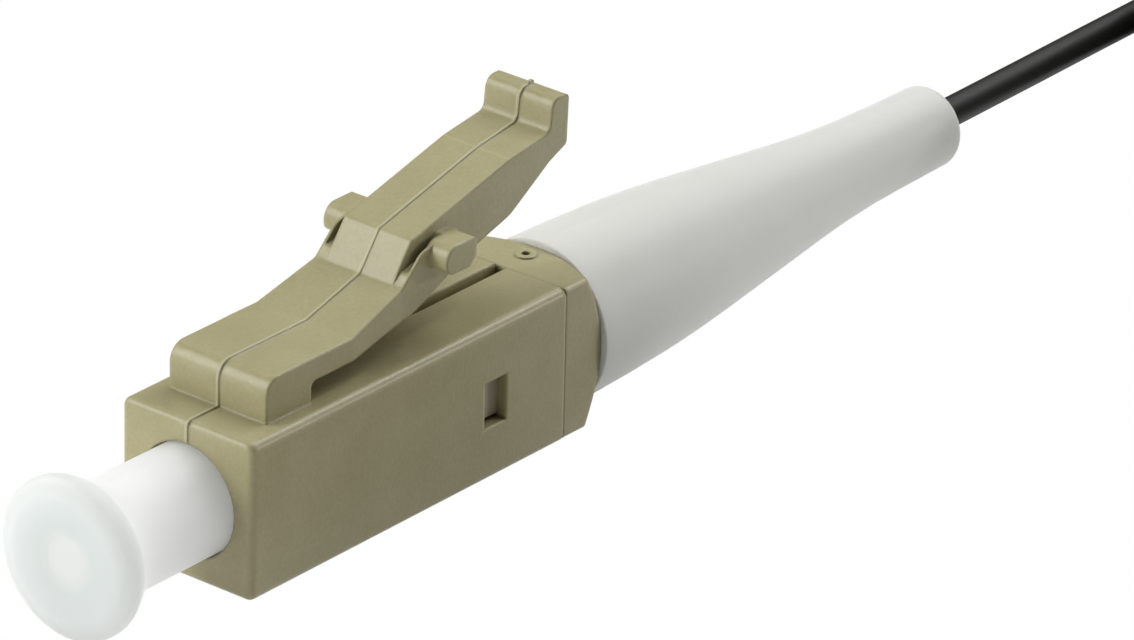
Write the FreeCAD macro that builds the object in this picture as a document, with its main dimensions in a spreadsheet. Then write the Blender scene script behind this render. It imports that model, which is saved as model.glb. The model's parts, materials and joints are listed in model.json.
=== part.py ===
"""Simplex LC fibre connector on a 0.9 mm buffered pigtail, with its dust cap, boot and coiled fibre.

Every piece is drawn about the connector's own axis: Y runs from the mating face towards the cable,
Z points up to the latch, X is across.  The finished pieces are then set down on the surface.
"""
import FreeCAD, Part
import Sketcher
import math
import os

V = FreeCAD.Vector

SIZES = [
    # housing
    ("body_side", 4.5, "square section of the plug body"),
    ("body_length", 14.15, "mating face to the flat rear face"),
    ("body_corner", 0.26, "rounding of the long edges"),
    ("face_round", 0.2, "rounding round the mating face"),
    ("tail_block", 1.59, "mould seam to the rear face"),
    ("seam_step", 0.05, "step in behind the seam, each side"),
    ("seam_groove", 0.07, "width and depth of the groove at the seam"),
    ("tail_corner", 0.12, "rounding of the long edges behind the seam"),
    ("tail_cone", 0.7, "length of the cone that trims the rear corners"),
    ("bore_dia", 3.24, "front bore round the ferrule"),
    ("bore_depth", 4.4, "mating face to the web"),
    ("web_thick", 0.8, "web that stops the ferrule flange"),
    ("web_hole_dia", 2.0, "hole for the nose of the flange"),
    ("wall", 0.47, "wall between the sides and the rear cavity"),
    ("window_place", 4.9, "rear face to the front of the snap window"),
    ("window_length", 0.91, "snap window along the body"),
    ("window_tall", 1.35, "snap window, height"),
    ("slot_place", 5.45, "rear face to the front of the key slot"),
    ("slot_length", 3.92, "key slot, length"),
    ("slot_width", 0.42, "key slot, width"),
    ("gate_place", 0.55, "rear face to the middle of the gate mark"),
    ("gate_dia", 0.62, "gate mark"),
    # latch
    ("latch_place", 1.2, "mating face to the front of the latch root"),
    ("latch_rise", 1.23, "top of the latch root above the body"),
    ("latch_width", 3.3, "latch root and start of the arm"),
    ("root_length", 1.75, "latch root where it meets the body"),
    ("root_round", 0.5, "rounding of the top of the latch root"),
    ("arm_thick", 0.64, "thickness of the arm where it flexes"),
    ("flex_place", 3.75, "mating face to the flexing line"),
    ("flex_gap", 0.02, "running clearance at the flexing line"),
    ("flex_lip", 0.13, "flexing line to the lip of its seat"),
    ("fold", 0.86, "flexing line to the start of the arm's slope"),
    ("knee", 2.98, "flexing line to the foot of the steep face"),
    ("knee_rise", 0.59, "foot of the steep face above the root"),
    ("crest", 3.74, "flexing line to the top of the steep face"),
    ("crest_rise", 1.62, "top of the steep face above the root"),
    ("kink", 7.71, "flexing line to the kink in the lever"),
    ("kink_rise", 2.6, "kink above the root"),
    ("tip", 9.34, "flexing line to the foot of the raised tip"),
    ("tip_rise", 2.82, "foot of the raised tip above the root"),
    ("tip_thick", 0.76, "raised tip along the lever"),
    ("tip_tall", 0.9, "raised tip above the lever"),
    ("tip_back", 1.44, "top of the raised tip to the foot of its rear face"),
    ("lever_width", 2.3, "thumb lever"),
    ("waist_width", 3.0, "arm at its narrowest, beside the lever's foot"),
    ("groove_width", 0.26, "groove between lever and lugs"),
    ("lug_span", 4.22, "across the two latching lugs"),
    ("lug_place", 8.97, "mating face to the latching shoulders"),
    ("lug_length", 1.2, "latching lug along the arm"),
    ("lug_tall", 0.78, "latching lug, height"),
    ("lug_rise", 1.54, "top of the lugs above the root"),
    ("rib_width", 0.09, "raised parting line"),
    ("rib_rise", 0.03, "height of the parting line"),
    # ferrule group
    ("ferrule_dia", 1.249, "zirconia ferrule"),
    ("ferrule_length", 6.5, "zirconia ferrule"),
    ("ferrule_reach", 1.75, "tip of the ferrule in front of the mating face"),
    ("glass_dia", 0.125, "bare glass fibre, bonded in the ferrule's capillary"),
    ("coating_dia", 0.25, "coated fibre"),
    ("nose_clear", 0.05, "clearance of the flange's nose in the web"),
    ("hex_clear", 0.22, "clearance of the flange's hexagon in the cavity"),
    ("hex_length", 1.0, "hexagon of the flange"),
    ("tail_clear", 0.18, "clearance of the flange's tail in the spring"),
    ("float_travel", 0.8, "travel of the ferrule against its spring"),
    ("spring_clear", 0.13, "clearance of the spring in its skirt"),
    ("spring_wire", 0.34, "spring wire"),
    ("spring_turns", 5.0, "turns of the spring"),
    ("spring_room", 1.6, "flange's tail, pushed right back, to the spring seat"),
    # stop body, boot, cap
    ("stop_clear", 0.02, "clearance of the stop body in its cavity"),
    ("stop_seat", 2.85, "spring seat to the rear face"),
    ("skirt_length", 2.55, "skirt in front of the spring seat"),
    ("skirt_wall", 0.26, "wall of the skirt"),
    ("snap_clear", 0.06, "clearance of the snap barb in its window"),
    ("snap_depth", 0.34, "snap barb below the housing's side"),
    ("neck_dia", 2.9, "neck that carries the boot"),
    ("neck_length", 4.3, "neck behind the housing"),
    ("barb_rise", 0.1, "ring barbs on the neck"),
    ("boot_over", 0.15, "boot's thick end beyond the housing, each side"),
    ("boot_length", 17.5, "length of the boot"),
    ("boot_shoulder", 4.35, "housing to where the taper steepens"),
    ("boot_shoulder_drop", 0.15, "loss of radius up to there"),
    ("boot_waist", 13.0, "housing to where the taper ends"),
    ("boot_waist_drop", 1.13, "loss of radius up to there"),
    ("boot_tip_drop", 1.2, "loss of radius up to the thin end"),
    ("boot_round", 0.38, "rounding of the thin end"),
    ("fit_clear", 0.01, "clearance of the boot on the neck"),
    ("cap_fit", 0.045, "clearance of the dust cap in the bore"),
    ("cap_reach", 2.6, "mating face to the inner end of the cap"),
    ("cap_front", 4.72, "mating face to the front of the cap"),
    ("cap_rim_dia", 4.5, "rim of the cap"),
    ("cap_rim_thick", 0.52, "rim of the cap, along the axis"),
    ("cap_flare", 1.12, "flare behind the rim"),
    ("cap_bore_clear", 0.035, "clearance of the cap round the ferrule"),
    # fibre
    ("cord_dia", 0.9, "tight-buffered fibre"),
    ("cord_clear", 0.05, "clearance round the buffer where it passes through"),
    ("coil_dia", 11.9, "coil across the middle of its turns"),
    ("coil_wide", 4.7, "bundle of turns, across"),
    ("coil_tall", 5.8, "bundle of turns, height"),
    ("coil_place", 45.0, "mating face to the middle of the coil"),
    ("tie_thick", 0.3, "tie round the bundle"),
    ("tie_angle", 20.0, "part of the coil under the tie, degrees"),
]

doc = FreeCAD.newDocument("LCConnector")
sheet = doc.addObject("Spreadsheet::Sheet", "Sizes")
for row, (alias, number, meaning) in enumerate(SIZES, start=1):
    sheet.set("A%d" % row, alias)
    sheet.set("B%d" % row, str(number))
    sheet.set("C%d" % row, meaning)
    sheet.setAlias("B%d" % row, alias)
doc.recompute()


def size(alias):
    """The number that the sheet holds under this alias."""
    return float(sheet.get(alias))


# Places and fits that several pieces share, worked out from the sheet.
HALF = size("body_side") / 2
BODY_LENGTH = size("body_length")
WEB_REAR = size("bore_depth") + size("web_thick")
WINDOW_FRONT = BODY_LENGTH - size("window_place")
WINDOW_REAR = WINDOW_FRONT + size("window_length")
LATCH_TOP = HALF + size("latch_rise")
ARM_UNDER = LATCH_TOP - size("arm_thick")
FLEX_Y = size("flex_place")
FLEX_Z = LATCH_TOP - size("arm_thick") / 2

FERRULE = size("ferrule_dia") / 2
FERRULE_REAR = size("ferrule_length") - size("ferrule_reach")
CAVITY = HALF - size("wall")
STOP_OUTER = CAVITY - size("stop_clear")
SKIRT = STOP_OUTER - size("skirt_wall")
SPRING_MEAN = SKIRT - size("spring_clear") - size("spring_wire") / 2
FLANGE_TAIL = SPRING_MEAN - size("spring_wire") / 2 - size("tail_clear")
FLANGE_NOSE = size("web_hole_dia") / 2 - size("nose_clear")
HEX_REAR = WEB_REAR + size("hex_length")
STOP_SEAT = BODY_LENGTH - size("stop_seat")
TAIL_REAR = STOP_SEAT - size("spring_room") - size("float_travel")

CORD = size("cord_dia") / 2
PASSAGE = CORD + size("cord_clear")
NECK = size("neck_dia") / 2
NECK_END = BODY_LENGTH + size("neck_length")
BOOT_BASE = HALF + size("boot_over")
BOOT_END = BODY_LENGTH + size("boot_length")
CORD_START = TAIL_REAR - size("float_travel") - 0.2
MIDDLE_Y = (BOOT_END - size("cap_front")) / 2
SET_DOWN = FreeCAD.Placement(V(0, -MIDDLE_Y, BOOT_BASE), FreeCAD.Rotation())

nodes = []


def finish(piece, label):
    """Name a finished piece after its node and set it down with the others."""
    piece.Label = label
    piece.Placement = SET_DOWN.multiply(piece.Placement)
    nodes.append(piece)
    return piece


def outline(points):
    """Closed outline through points (u, v) or (u, v, radius): lines, with an arc at each radius."""
    entries = []
    for index, point in enumerate(points):
        here = V(point[0], point[1], 0)
        radius = point[2] if len(point) > 2 else 0
        if not radius:
            entries.append((here, here, None))
            continue
        before = points[index - 1]
        after = points[(index + 1) % len(points)]
        back = (V(before[0], before[1], 0) - here).normalize()
        ahead = (V(after[0], after[1], 0) - here).normalize()
        half_turn = back.getAngle(ahead) / 2
        reach = radius / math.tan(half_turn)
        bisector = (back + ahead).normalize()
        centre = here + bisector * (radius / math.sin(half_turn))
        middle = centre - bisector * radius
        entries.append((here + back * reach, here + ahead * reach, middle))
    geometry = []
    for index, (start, end, middle) in enumerate(entries):
        if middle is not None:
            geometry.append(Part.Arc(start, middle, end))
        following = entries[(index + 1) % len(entries)][0]
        if end.distanceToPoint(following) > 1e-6:
            geometry.append(Part.LineSegment(end, following))
    return geometry


def box_points(u0, u1, v0, v1, radius=0):
    """Corners of a rectangle, for outline()."""
    return [(u0, v0, radius), (u1, v0, radius), (u1, v1, radius), (u0, v1, radius)]


def new_body(name):
    return doc.addObject("PartDesign::Body", name)


def sketch(body, name, plane, geometry, offset=None):
    """Sketch on one of the body's origin planes; offset is an expression along the plane's normal."""
    made = body.newObject("Sketcher::SketchObject", name)
    support = [f for f in body.Origin.OriginFeatures if f.Role == plane][0]
    made.AttachmentSupport = [(support, "")]
    made.MapMode = "FlatFace"
    for item in geometry:
        made.addGeometry(item)
    if offset:
        made.setExpression("AttachmentOffset.Base.z", offset)
    return made


def circle(name, body, plane, u, v, dia_expression, offset=None):
    """Sketch of one circle whose radius follows an expression."""
    made = sketch(body, name, plane, [Part.Circle(V(u, v, 0), V(0, 0, 1), 1.0)], offset)
    made.addConstraint(Sketcher.Constraint("Radius", 0, 1.0))
    made.setExpression("Constraints[0]", "(%s) / 2" % dia_expression)
    return made


def extrude(kind, body, name, profile, length, side="One side", reverse=False):
    """Pad or Pocket whose length follows an expression."""
    made = body.newObject("PartDesign::" + kind, name)
    made.Profile = profile
    made.SideType = side
    made.Reversed = reverse
    made.setExpression("Length", length)
    doc.recompute()
    return made


def turn(kind, body, name, geometry):
    """Revolution or Groove about the connector's axis, from an outline of (along, radius) points."""
    profile = sketch(body, name + "_profile", "YZ_Plane", geometry)
    made = body.newObject("PartDesign::" + kind, name)
    made.Profile = profile
    made.ReferenceAxis = (profile, ["H_Axis"])
    made.Angle = 360
    doc.recompute()
    return made


def removed(body, before, what):
    """Volume check for a cut: it must have taken something away."""
    taken = before - body.Shape.Volume
    if taken <= 0:
        raise ValueError(what + " cut nothing")
    return body.Shape.Volume


# ---------------------------------------------------------------- housing


def section(body, name, inset, corner, place, length):
    """Length of the square body, smaller by the inset on every side, from a place along the axis."""
    reach = HALF - inset
    profile = sketch(body, name + "_profile", "XZ_Plane",
                     outline(box_points(-reach, reach, -reach, reach, corner)), offset="-(%s)" % place)
    return extrude("Pad", body, name, profile, length, reverse=True)


def latch_root(body):
    """Root of the latch, with the round seat of the arm's knuckle, and the parting line over it."""
    front = size("latch_place")
    rear = front + size("root_length")
    sunk = HALF - 0.3
    seat = size("arm_thick") / 2 + size("flex_gap")
    lip = FLEX_Y - size("flex_lip")
    seat_half = math.sqrt(seat ** 2 - (FLEX_Y - lip) ** 2)
    root = outline([
        (front, sunk),
        (front, LATCH_TOP, size("root_round")),
        (lip, LATCH_TOP),
        (lip, FLEX_Z + seat_half),
        (lip, FLEX_Z - seat_half),
        (lip, ARM_UNDER),
        (rear, ARM_UNDER, 0.2),
        (rear, sunk),
    ])
    upper = V(lip, FLEX_Z + seat_half, 0)
    lower = V(lip, FLEX_Z - seat_half, 0)
    chord = [g for g in root if g.StartPoint.isEqual(upper, 1e-6) and g.EndPoint.isEqual(lower, 1e-6)][0]
    root.remove(chord)
    root.append(Part.Arc(upper, V(FLEX_Y - seat, FLEX_Z, 0), lower))
    extrude("Pad", body, "latch_root", sketch(body, "latch_root_profile", "YZ_Plane", root),
            "Sizes.latch_width", side="Symmetric")

    rise = size("rib_rise")
    bore = size("bore_dia") / 2
    depth = 0.4
    rib = outline([
        (-rise, bore + 0.02),
        (-rise, HALF + rise, size("face_round")),
        (front - rise, HALF + rise),
        (front - rise, LATCH_TOP + rise, size("root_round")),
        (lip, LATCH_TOP + rise),
        (lip, FLEX_Z + seat_half),
        (front + depth, LATCH_TOP - depth - 0.2),
        (front + depth, sunk),
        (depth, sunk),
        (depth, bore + 0.02),
    ])
    extrude("Pad", body, "parting_rib", sketch(body, "parting_rib_profile", "YZ_Plane", rib),
            "Sizes.rib_width", side="Symmetric")


def make_housing():
    """One moulding: square body, root of the latch, stepped bore, snap windows and key slot."""
    body = new_body("HousingBody")
    block = section(body, "front_block", 0, size("body_corner"), "0", "Sizes.body_length - Sizes.tail_block")
    face = [n for n, f in enumerate(block.Shape.Faces, 1) if f.BoundBox.YMax < 1e-4][0]
    rounding = body.newObject("PartDesign::Fillet", "face_rounding")
    rounding.Base = (block, ["Face%d" % face])
    rounding.setExpression("Radius", "Sizes.face_round")
    doc.recompute()
    step = size("seam_step")
    section(body, "seam_neck", step + size("seam_groove"), size("tail_corner"),
            "Sizes.body_length - Sizes.tail_block", "Sizes.seam_groove")
    section(body, "rear_block", step, size("tail_corner"),
            "Sizes.body_length - Sizes.tail_block + Sizes.seam_groove",
            "Sizes.tail_block - Sizes.seam_groove")
    latch_root(body)
    gate_y = BODY_LENGTH - size("gate_place")
    extrude("Pad", body, "gate_bump",
            circle("gate_bump_ring", body, "XY_Plane", 0, gate_y, "Sizes.gate_dia",
                   offset="Sizes.body_side / 2 - Sizes.seam_step - 0.05"), "0.1")

    volume = body.Shape.Volume
    cone_front = BODY_LENGTH - size("tail_cone")
    flat = HALF - 0.2
    diagonal = HALF * math.sqrt(2)
    turn("Groove", body, "rear_cone", outline([
        (BODY_LENGTH + 0.1, flat), (cone_front, diagonal), (cone_front, 2 * HALF),
        (BODY_LENGTH + 0.1, 2 * HALF),
    ]))
    volume = removed(body, volume, "rear cone")
    bore = size("bore_dia") / 2
    hole = size("web_hole_dia") / 2
    turn("Groove", body, "stepped_bore", outline([
        (-0.2, 0), (-0.2, bore), (size("bore_depth"), bore), (size("bore_depth"), hole),
        (WEB_REAR, hole), (WEB_REAR, CAVITY), (BODY_LENGTH + 0.2, CAVITY), (BODY_LENGTH + 0.2, 0),
    ]))
    volume = removed(body, volume, "stepped bore")
    tall = size("window_tall") / 2
    window = sketch(body, "window_profile", "YZ_Plane",
                    outline(box_points(WINDOW_FRONT, WINDOW_REAR, -tall, tall)))
    extrude("Pocket", body, "snap_windows", window, "2 * Sizes.body_side", side="Symmetric")
    volume = removed(body, volume, "windows")
    width = size("slot_width") / 2
    slot_front = BODY_LENGTH - size("slot_place")
    slot = sketch(body, "slot_profile", "XY_Plane",
                  outline(box_points(-width, width, slot_front, slot_front + size("slot_length"))))
    extrude("Pocket", body, "key_slot", slot, "Sizes.body_side", reverse=True)
    volume = removed(body, volume, "key slot")
    pit = circle("gate_pit_ring", body, "XY_Plane", 0, gate_y, "0.4 * Sizes.gate_dia",
                 offset="Sizes.body_side / 2 - 0.2")
    extrude("Pocket", body, "gate_pit", pit, "1", reverse=True)
    removed(body, volume, "gate pit")
    finish(body, "housing")


# ---------------------------------------------------------------- latch arm


def on_arm(reach, rise, *radius):
    """Point of an outline on the latch, from the flexing line and from the top of the root."""
    return (FLEX_Y + reach, LATCH_TOP + rise) + radius


def make_latch_arm():
    """The flexing part of the latch: arm, two latching lugs and the thumb lever with its raised tip."""
    body = new_body("LatchArmBody")
    tip = size("tip")
    tip_top = size("tip_rise") + size("tip_tall")
    tip_end = tip + size("tip_thick")
    top_line = [
        on_arm(size("fold"), 0, 0.3),
        on_arm(size("knee"), size("knee_rise"), 0.2),
        on_arm(size("crest"), size("crest_rise"), 0.12),
        on_arm(size("kink"), size("kink_rise")),
        on_arm(tip, size("tip_rise"), 0.25),
        on_arm(tip + 0.1, tip_top, 0.34),
        on_arm(tip_end, tip_top, 0.16),
    ]
    hollow = on_arm(size("knee") + 0.5, -0.22, 1.5)
    foot = (FLEX_Y + 0.9, ARM_UNDER, 0.6)
    spine = outline([(FLEX_Y, LATCH_TOP)] + top_line + [
        on_arm(tip_end - 0.06, tip_top - size("tip_back"), 0.14),
        on_arm(tip, tip_top - size("tip_back") - 0.3, 0.5),
        on_arm(tip - 1.6, tip_top - size("tip_back") - 1.3, 1.2),
        hollow,
        foot,
        (FLEX_Y, ARM_UNDER),
    ])
    extrude("Pad", body, "lever", sketch(body, "lever_profile", "YZ_Plane", spine),
            "Sizes.lever_width", side="Symmetric")

    shoulder = size("lug_place")
    lug_top = LATCH_TOP + size("lug_rise")
    lug_under = lug_top - size("lug_tall")
    wide = outline([
        (FLEX_Y, LATCH_TOP),
        top_line[0],
        on_arm(size("knee"), size("knee_rise"), 0.3),
        on_arm(size("crest"), size("lug_rise") - 0.2, 0.6),
        on_arm(size("crest") + 0.8, size("lug_rise"), 0.3),
        (shoulder, lug_top),
        (shoulder, lug_under - 0.2),
        hollow,
        foot,
        (FLEX_Y, ARM_UNDER),
    ])
    extrude("Pad", body, "wide_arm", sketch(body, "wide_arm_profile", "YZ_Plane", wide),
            "Sizes.latch_width", side="Symmetric")
    knuckle = circle("knuckle_circle", body, "YZ_Plane", FLEX_Y, FLEX_Z, "Sizes.arm_thick")
    extrude("Pad", body, "knuckle", knuckle, "Sizes.latch_width", side="Symmetric")

    volume = body.Shape.Volume
    root = size("latch_width") / 2
    waist = size("waist_width") / 2
    waist_front = FLEX_Y + size("knee")
    for side, name in ((1, "right_waist"), (-1, "left_waist")):
        trim = outline([
            (side * root, FLEX_Y + size("fold")), (side * waist, waist_front), (side * waist, shoulder + 0.1),
            (side * (root + 0.2), shoulder + 0.1), (side * (root + 0.2), FLEX_Y + size("fold")),
        ])
        profile = sketch(body, name + "_profile", "XY_Plane", trim)
        extrude("Pocket", body, name, profile, "4 * Sizes.body_side", side="Symmetric")
        volume = removed(body, volume, name)

    crescent = [
        on_arm(size("knee") + 0.3, size("knee_rise") + 0.27),
        on_arm(size("crest") + 0.25, size("knee_rise") + 0.42, 0.8),
        on_arm(size("crest") + 1.0, size("lug_rise") + 0.02),
        on_arm(size("crest"), size("lug_rise") + 0.2),
    ]
    for name, offset in (("right_groove", "Sizes.lever_width / 2 + Sizes.groove_width"),
                         ("left_groove", "-Sizes.lever_width / 2")):
        profile = sketch(body, name + "_profile", "YZ_Plane", outline(crescent), offset=offset)
        extrude("Pocket", body, name, profile, "Sizes.groove_width")
        volume = removed(body, volume, name)

    front = shoulder - size("lug_length")
    lug = outline([
        (front, lug_top, 0.42), (shoulder, lug_top, 0.1), (shoulder, lug_under + 0.25),
        (shoulder - 0.25, lug_under), (front, lug_under, 0.3),
    ])
    for name, offset in (("right_lug", "Sizes.latch_width / 2 - 0.3"), ("left_lug", "-Sizes.lug_span / 2")):
        profile = sketch(body, name + "_profile", "YZ_Plane", lug, offset=offset)
        extrude("Pad", body, name, profile, "(Sizes.lug_span - Sizes.latch_width) / 2 + 0.3")

    rise = size("rib_rise")
    rib_line = [(u, v + rise) + tuple(r) for u, v, *r in top_line[:4]]
    rib_line.append(on_arm(tip - rise, size("tip_rise") + rise, 0.25))
    rib_line.append(on_arm(tip + 0.1 - rise, tip_top + rise, 0.34))
    rib_line.append(on_arm(tip + 0.4, tip_top + rise))
    rib_line.append(on_arm(tip + 0.44, tip_top + 3 * rise, 0.05))
    rib_line.append(on_arm(tip_end - 0.12, tip_top + 3 * rise, 0.05))
    rib = outline([(FLEX_Y, LATCH_TOP + rise)] + rib_line + [
        on_arm(tip_end - 0.12, tip_top - 0.3), on_arm(tip + 0.35, size("tip_rise")),
        on_arm(size("kink"), size("kink_rise") - 0.2), on_arm(size("crest") + 0.1, size("crest_rise") - 0.2),
        on_arm(size("knee") + 0.1, size("knee_rise") - 0.2), (FLEX_Y, LATCH_TOP - 0.15),
    ])
    extrude("Pad", body, "parting_rib", sketch(body, "parting_rib_profile", "YZ_Plane", rib),
            "Sizes.rib_width", side="Symmetric")
    finish(body, "latch_arm")


# ---------------------------------------------------------------- ferrule group


def make_ferrule():
    """Zirconia ferrule with its capillary and chamfered tip."""
    body = new_body("FerruleBody")
    tip = -size("ferrule_reach")
    hole = size("glass_dia") / 2
    turn("Revolution", body, "ferrule_turn", outline([
        (tip, hole), (tip, 0.72 * FERRULE), (tip + 0.3, FERRULE), (FERRULE_REAR, FERRULE),
        (FERRULE_REAR, hole),
    ]))
    finish(body, "ferrule")


def make_flange():
    """Metal flange pressed on the ferrule: nose, hexagon against the web, tail inside the spring."""
    body = new_body("FlangeBody")
    bore = CORD + 0.03
    front = size("cap_reach") + 0.4
    bevel = 0.15
    tail_front = WEB_REAR + size("hex_length") / 2
    turn("Revolution", body, "flange_turn", outline([
        (front, FERRULE), (front, FLANGE_NOSE - bevel), (front + bevel, FLANGE_NOSE),
        (tail_front, FLANGE_NOSE), (tail_front, FLANGE_TAIL), (TAIL_REAR, FLANGE_TAIL), (TAIL_REAR, bore),
        (FERRULE_REAR, bore), (FERRULE_REAR, FERRULE),
    ]))
    corner = CAVITY - size("hex_clear")
    corners = [(corner * math.cos(math.radians(60 * k)), corner * math.sin(math.radians(60 * k)))
               for k in range(6)]
    hole = (min(FLANGE_NOSE, FLANGE_TAIL) + bore) / 2
    hexagon = sketch(body, "hexagon", "XZ_Plane",
                     outline(corners) + [Part.Circle(V(0, 0, 0), V(0, 0, 1), hole)],
                     offset="-(Sizes.bore_depth + Sizes.web_thick)")
    extrude("Pad", body, "hexagon_collar", hexagon, "Sizes.hex_length", reverse=True)
    finish(body, "ferrule_flange")


def fibre_piece(name, dia_expression, start, length, label):
    """Round fibre along the axis, as a primitive."""
    fibre = doc.addObject("Part::Cylinder", name)
    fibre.setExpression("Radius", dia_expression + " / 2")
    fibre.Height = length
    fibre.Placement = FreeCAD.Placement(V(0, start, 0), FreeCAD.Rotation(V(1, 0, 0), -90))
    finish(fibre, label)


def make_spring():
    """Compression spring from the hexagon to the seat in the stop body."""
    body = new_body("SpringBody")
    wire = size("spring_wire") / 2
    angles = [math.radians(60 * k + 30) for k in range(6)]
    ring = [(SPRING_MEAN + wire * math.cos(a), HEX_REAR + wire * (1 + math.sin(a))) for a in angles]
    wire_section = sketch(body, "wire_section", "XY_Plane", outline(ring))
    coil = body.newObject("PartDesign::AdditiveHelix", "winding")
    coil.Profile = wire_section
    coil.ReferenceAxis = (wire_section, ["V_Axis"])
    coil.Mode = "height-turns-angle"
    coil.setExpression("Turns", "Sizes.spring_turns")
    coil.Height = STOP_SEAT - HEX_REAR - 2 * wire
    doc.recompute()
    finish(body, "spring")


# ---------------------------------------------------------------- stop body, boot, cap


def neck_rings():
    """Places of the ring barbs along the neck."""
    return [BODY_LENGTH + size("neck_length") * share for share in (0.45, 0.8)]


def make_stop_body():
    """Rear insert: skirt round the spring, snap barbs in the windows, neck for the boot."""
    body = new_body("StopBody")
    passage = CORD + 0.15
    skirt_front = STOP_SEAT - size("skirt_length")
    bevel = 0.15
    turn("Revolution", body, "stop_turn", outline([
        (skirt_front, SKIRT),
        (skirt_front, STOP_OUTER - 0.5 * bevel),
        (skirt_front + bevel, STOP_OUTER),
        (BODY_LENGTH, STOP_OUTER),
        (BODY_LENGTH, NECK),
        (NECK_END - bevel, NECK),
        (NECK_END, NECK - bevel),
        (NECK_END, passage),
        (STOP_SEAT, passage),
        (STOP_SEAT, SKIRT),
    ]))
    for number, place in enumerate(neck_rings(), start=1):
        turn("Revolution", body, "ring_barb_%d" % number, outline([
            (place - 0.1, NECK - 0.1), (place - 0.1, NECK + size("barb_rise")),
            (place + 0.35, NECK), (place + 0.35, NECK - 0.1),
        ]))
    front = WINDOW_FRONT + size("snap_clear")
    sunk = SKIRT + 0.05
    reach = HALF - size("snap_depth")
    barb = sketch(body, "snap_profile", "XY_Plane", outline([
        (sunk, front), (STOP_OUTER - 0.03, front), (reach, front + 0.3), (reach, WINDOW_REAR),
        (sunk, WINDOW_REAR),
    ]))
    snap = extrude("Pad", body, "snap_barb", barb, "Sizes.window_tall - 3 * Sizes.snap_clear",
                   side="Symmetric")
    mirror = body.newObject("PartDesign::Mirrored", "snap_barb_mirror")
    mirror.Originals = [snap]
    mirror.MirrorPlane = ([f for f in body.Origin.OriginFeatures if f.Role == "YZ_Plane"][0], [""])
    body.Tip = mirror
    doc.recompute()
    finish(body, "stop_body")


def make_boot():
    """Strain-relief boot: a long S taper with a rounded end, bored for the neck and the buffer."""
    body = new_body("BootBody")
    tip = BOOT_BASE - size("boot_tip_drop")
    neck = NECK + size("fit_clear")
    ring = neck + size("barb_rise")
    inner_end = NECK_END + 0.05
    inner = [(BOOT_END, PASSAGE), (inner_end + 1.2, PASSAGE), (inner_end, neck)]
    for place in reversed(neck_rings()):
        inner += [(place + 0.36, neck), (place - 0.11, ring), (place - 0.11, neck)]
    inner.append((BODY_LENGTH, neck))
    turn("Revolution", body, "boot_turn", outline([
        (BODY_LENGTH, BOOT_BASE),
        (BODY_LENGTH + size("boot_shoulder"), BOOT_BASE - size("boot_shoulder_drop"), 55),
        (BODY_LENGTH + size("boot_waist"), BOOT_BASE - size("boot_waist_drop"), 38),
        (BOOT_END - 0.2, tip, size("boot_round")),
    ] + inner))
    finish(body, "boot")


def make_dust_cap():
    """Translucent dust cap: dished rim, flared collar and a barrel that slides over the ferrule."""
    body = new_body("DustCapBody")
    front = -size("cap_front")
    rim = size("cap_rim_dia") / 2
    barrel = size("bore_dia") / 2 - size("cap_fit")
    bore = FERRULE + size("cap_bore_clear")
    bore_end = -size("ferrule_reach") - 0.5
    rim_rear = front + size("cap_rim_thick")
    reach = size("cap_reach")
    bevel = 0.2
    turn("Revolution", body, "cap_turn", outline([
        (front + 0.16, 0),
        (front + 0.16, bore),
        (front + 0.12, bore + 0.04),
        (front, rim - 0.5),
        (front + 0.12, rim, 0.2),
        (rim_rear, rim, 0.35),
        (rim_rear + size("cap_flare"), barrel, 1.6),
        (reach - bevel, barrel),
        (reach, barrel - bevel),
        (reach, bore),
        (bore_end, bore),
        (bore_end - bore / 2, 0),
    ]))
    finish(body, "dust_cap")


# ---------------------------------------------------------------- fibre pigtail


def coil_points():
    """Middle of the coil, about the connector's axis."""
    return V((size("coil_dia") + size("coil_wide")) / 2 - CORD, size("coil_place"),
             size("coil_tall") / 2 + size("tie_thick") - BOOT_BASE)


def bundle(body, name, grow, angle):
    """The coil's rounded section, grown by the tie where it is one, swept round the coil."""
    middle = coil_points()
    radius = size("coil_dia") / 2
    wide = size("coil_wide") / 2 + grow
    tall = size("coil_tall") / 2 + grow
    cut = size("coil_tall") * 0.28 + grow / 2
    profile = sketch(body, name + "_profile", "XZ_Plane", outline([
        (radius - wide, -tall), (radius + wide - cut, -tall), (radius + wide, -tall + cut),
        (radius + wide, tall - cut), (radius + wide - cut, tall), (radius - wide, tall),
    ]))
    made = body.newObject("PartDesign::Revolution", name)
    made.Profile = profile
    made.ReferenceAxis = (profile, ["V_Axis"])
    made.setExpression("Angle", angle)
    made.Midplane = True
    doc.recompute()
    body.Placement = FreeCAD.Placement(middle, FreeCAD.Rotation())
    return made


def make_coil():
    """Closed solid of the wound pigtail, and the tie that holds it."""
    coil = new_body("CoilBody")
    bundle(coil, "coil_turn", 0, "360")
    tie = new_body("TieBody")
    bundle(tie, "tie_turn", size("tie_thick"), "Sizes.tie_angle")
    doc.recompute()
    band = doc.addObject("Part::Cut", "TieBand")
    band.Base = tie
    band.Tool = coil
    doc.recompute()
    loose_band = doc.addObject("Part::Feature", "Tie")
    loose_band.Shape = band.Shape.copy()
    finish(loose_band, "coil_tie")
    solid = coil.Shape.copy()
    finish(coil, "cord_coil")
    return solid


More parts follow.
